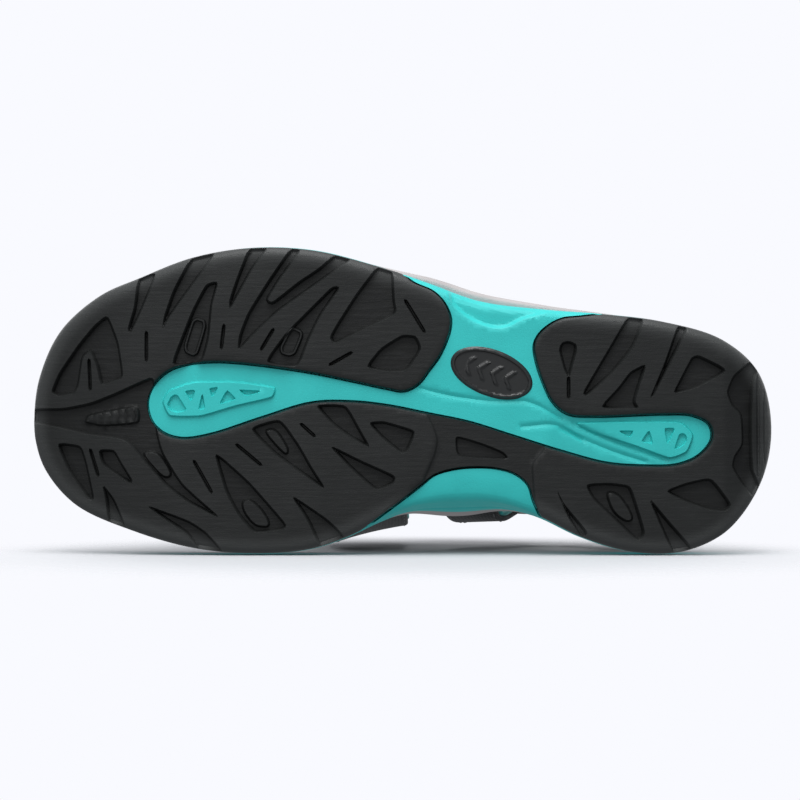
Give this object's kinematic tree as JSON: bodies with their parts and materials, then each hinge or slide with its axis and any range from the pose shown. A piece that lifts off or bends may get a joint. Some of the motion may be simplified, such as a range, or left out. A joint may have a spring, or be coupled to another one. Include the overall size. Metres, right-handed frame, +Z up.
{
  "type": "strappy sport sandal",
  "caption": "Strappy sport sandal with a lugged rubber outsole, foam midsole, grey footbed, webbing straps on ankle rings and hook-and-loop closures.",
  "frame": {"origin": "on the ground under the middle of the sole outline", "axes": "+X to the toe, +Y to the outer side of the left foot, +Z up"},
  "size_m": [0.272, 0.1125, 0.114],
  "materials": {
    "rubber": "moulded matte with a fine grain",
    "teal_foam": "moulded EVA foam, satin",
    "nylon": "moulded nylon",
    "grey_foam": "moulded EVA foam, matte",
    "grey_liner": "embossed fabric-topped foam",
    "plastic_ring": "moulded acetal, satin",
    "webbing": "woven polyester webbing",
    "teal_lining": "knitted neoprene lining",
    "hook_patch": "moulded hook tape",
    "loop_patch": "brushed loop tape",
    "pull_tape": "woven tape"
  },
  "bodies": {
    "sandal": {"outsole": "rubber", "oval_badge": "rubber", "midsole": "teal_foam", "shank": "nylon", "footbed": "grey_foam", "sockliner": "grey_liner", "forefoot_ring": "plastic_ring", "forefoot_strap_outer": "webbing", "forefoot_strap_inner": "webbing", "forefoot_lining_outer": "teal_lining", "forefoot_lining_inner": "teal_lining", "forefoot_loop_patch": "loop_patch", "quarter_strap_outer": "webbing", "quarter_lining_outer": "teal_lining", "quarter_strap_inner": "webbing", "quarter_lining_inner": "teal_lining", "heel_post_strap_outer": "webbing", "heel_post_lining_outer": "teal_lining", "heel_post_strap_inner": "webbing", "heel_post_lining_inner": "teal_lining", "ankle_ring_outer": "plastic_ring", "ankle_ring_inner": "plastic_ring", "ankle_strap": "webbing", "ankle_pad": "teal_lining", "ankle_loop_patch": "loop_patch"},
    "forefoot_tab": {"forefoot_tab": "webbing", "forefoot_hook_patch": "hook_patch"},
    "ankle_tab": {"ankle_tab": "webbing", "ankle_hook_patch": "hook_patch"},
    "heel_collar": {"heel_collar": "webbing", "heel_collar_pad": "teal_lining", "heel_loop_patch": "loop_patch", "heel_pull_loop": "pull_tape"},
    "heel_tab": {"heel_tab": "webbing", "heel_hook_patch": "hook_patch"}
  },
  "joints": [
    {"name": "forefoot_peel", "type": "hinge", "parent": "sandal", "child": "forefoot_tab", "pos_m": [0.01494, 0.02976, 0.07604], "axis": [-0.991, -0.0451, -0.1258], "range_deg": [0, 100]},
    {"name": "ankle_peel", "type": "hinge", "parent": "sandal", "child": "ankle_tab", "pos_m": [-0.04735, 0.02623, 0.08005], "axis": [-0.5736, 0, 0.8192], "range_deg": [0, 85]},
    {"name": "collar_swing", "type": "hinge", "parent": "sandal", "child": "heel_collar", "pos_m": [-0.058, 0.02623, 0.07259], "axis": [0, 1, 0], "range_deg": [-15, 15]},
    {"name": "heel_peel", "type": "hinge", "parent": "heel_collar", "child": "heel_tab", "pos_m": [-0.07022, 0.02623, 0.07704], "axis": [-0.342, 0, -0.9397], "range_deg": [0, 80]}
  ]
}
